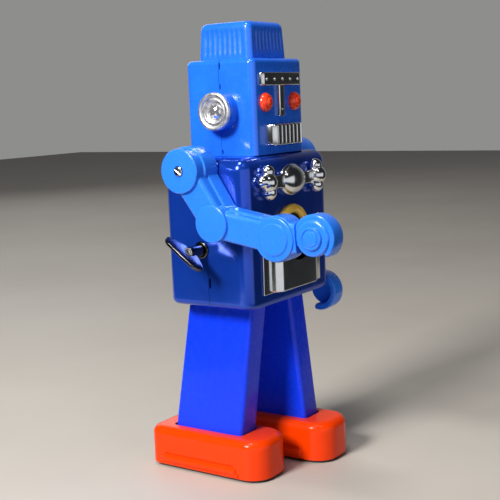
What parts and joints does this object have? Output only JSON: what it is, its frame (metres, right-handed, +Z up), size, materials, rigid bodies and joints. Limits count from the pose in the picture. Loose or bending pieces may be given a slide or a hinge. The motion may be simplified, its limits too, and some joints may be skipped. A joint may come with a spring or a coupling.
{
  "type": "toy robot",
  "caption": "Wind-up walking toy robot: square tin head and body, chromed face and chest trim, swinging plastic arms with C-shaped hands, tin legs and long rolling feet.",
  "frame": {"origin": "floor level under the middle of the whole toy's box, arms and key included", "axes": "+Z up, -Y the way the robot faces, so its right arm and the key are towards -X"},
  "size_m": [0.1188, 0.1308, 0.24],
  "materials": {
    "blue_enamel": "gloss",
    "light_blue_plastic": "gloss",
    "leg_enamel": "gloss",
    "red_enamel": "gloss",
    "eye_plastic": "gloss",
    "chrome": "polished",
    "yellow_enamel": "gloss",
    "black_enamel": "satin",
    "jewel": "faceted, clear over silver",
    "steel": "bright",
    "brass": "bright",
    "rubber": "matt"
  },
  "bodies": {
    "frame": {"arm_screw_left": "steel", "arm_screw_right": "steel", "body_base_plate": "steel", "body_front_shell": "blue_enamel", "body_rear_shell": "blue_enamel", "brow_nose_trim": "chrome", "chest_ornament": "chrome", "chest_panel": "chrome", "click": "steel", "dial_bezel": "yellow_enamel", "dial_face": "black_enamel", "dial_jewel": "jewel", "ear_base_left": "blue_enamel", "ear_base_right": "blue_enamel", "ear_dish_left": "chrome", "ear_dish_right": "chrome", "ear_jewel_left": "jewel", "ear_jewel_right": "jewel", "eye_left": "eye_plastic", "eye_right": "eye_plastic", "head_cap": "blue_enamel", "head_front_shell": "blue_enamel", "head_rear_shell": "blue_enamel", "hip_axle": "steel", "key_collar": "steel", "mainspring": "steel", "motor_pillar_1": "steel", "motor_pillar_2": "steel", "motor_pillar_3": "steel", "motor_pillar_4": "steel", "motor_plate_left": "steel", "motor_plate_right": "steel", "mouth_grille": "chrome", "shoulder_bush_left": "blue_enamel", "shoulder_bush_right": "blue_enamel"},
    "key": {"winding_key": "steel", "key_arbor": "steel"},
    "great_wheel": {"great_gear": "brass"},
    "crank": {"crank_shaft": "steel"},
    "fly": {"fly_wheel": "brass"},
    "right_arm": {"arm_right": "light_blue_plastic"},
    "left_arm": {"arm_left": "light_blue_plastic"},
    "right_leg": {"leg_right": "leg_enamel"},
    "right_foot": {"foot_shell_right": "red_enamel", "foot_base_right": "black_enamel", "ankle_pin_right": "steel"},
    "right_front_roller": {"roller_front_right": "rubber"},
    "right_rear_roller": {"roller_rear_right": "rubber"},
    "left_leg": {"leg_left": "leg_enamel"},
    "left_foot": {"foot_shell_left": "red_enamel", "foot_base_left": "black_enamel", "ankle_pin_left": "steel"},
    "left_front_roller": {"roller_front_left": "rubber"},
    "left_rear_roller": {"roller_rear_left": "rubber"}
  },
  "joints": [
    {"name": "key_wind", "type": "hinge", "parent": "frame", "child": "key", "pos_m": [-0.0497, 0.01917, 0.1243], "axis": [1, 0, 0], "continuous": true},
    {"name": "clockwork_turn", "type": "hinge", "parent": "frame", "child": "great_wheel", "pos_m": [0.0053, 0.01917, 0.1243], "axis": [1, 0, 0], "continuous": true},
    {"name": "crank_turn", "type": "hinge", "parent": "frame", "child": "crank", "pos_m": [0.0003, 0.02026, 0.14227], "axis": [1, 0, 0], "continuous": true},
    {"name": "fly_turn", "type": "hinge", "parent": "frame", "child": "fly", "pos_m": [0.0003, 0.01078, 0.15145], "axis": [1, 0, 0], "continuous": true},
    {"name": "right_arm_raise", "type": "hinge", "parent": "frame", "child": "right_arm", "pos_m": [-0.0497, 0.01836, 0.1661], "axis": [-1, 0, 0], "range_deg": [0, 145]},
    {"name": "left_arm_raise", "type": "hinge", "parent": "frame", "child": "left_arm", "pos_m": [0.0503, 0.01836, 0.1661], "axis": [-1, 0, 0], "range_deg": [-15, 190]},
    {"name": "right_hip_swing", "type": "hinge", "parent": "frame", "child": "right_leg", "pos_m": [-0.0156, 0.01987, 0.1052], "axis": [1, 0, 0], "range_deg": [-9.8, 0]},
    {"name": "left_hip_swing", "type": "hinge", "parent": "frame", "child": "left_leg", "pos_m": [0.0162, 0.01987, 0.1052], "axis": [1, 0, 0], "range_deg": [0, 9.8]},
    {"name": "right_ankle", "type": "hinge", "parent": "right_leg", "child": "right_foot", "pos_m": [-0.0208, 0.03047, 0.01885], "axis": [1, 0, 0], "range_deg": [0, 9.8]},
    {"name": "left_ankle", "type": "hinge", "parent": "left_leg", "child": "left_foot", "pos_m": [0.0214, 0.01562, 0.0183], "axis": [1, 0, 0], "range_deg": [-9.8, 0]},
    {"name": "right_front_roll", "type": "hinge", "parent": "right_foot", "child": "right_front_roller", "pos_m": [-0.0208, 0.00507, 0.0032], "axis": [1, 0, 0], "continuous": true},
    {"name": "right_rear_roll", "type": "hinge", "parent": "right_foot", "child": "right_rear_roller", "pos_m": [-0.0208, 0.05107, 0.0032], "axis": [1, 0, 0], "continuous": true},
    {"name": "left_front_roll", "type": "hinge", "parent": "left_foot", "child": "left_front_roller", "pos_m": [0.0214, -0.00979, 0.0032], "axis": [1, 0, 0], "continuous": true},
    {"name": "left_rear_roll", "type": "hinge", "parent": "left_foot", "child": "left_rear_roller", "pos_m": [0.0214, 0.03621, 0.0032], "axis": [1, 0, 0], "continuous": true}
  ],
  "couplings": [
    {"joint": "crank_turn", "follows": "clockwork_turn", "ratio": -4},
    {"joint": "fly_turn", "follows": "clockwork_turn", "ratio": 10.667},
    {"joint": "left_hip_swing", "follows": "right_hip_swing", "ratio": -1},
    {"joint": "right_ankle", "follows": "right_hip_swing", "ratio": -1},
    {"joint": "left_ankle", "follows": "right_hip_swing", "ratio": 1}
  ]
}
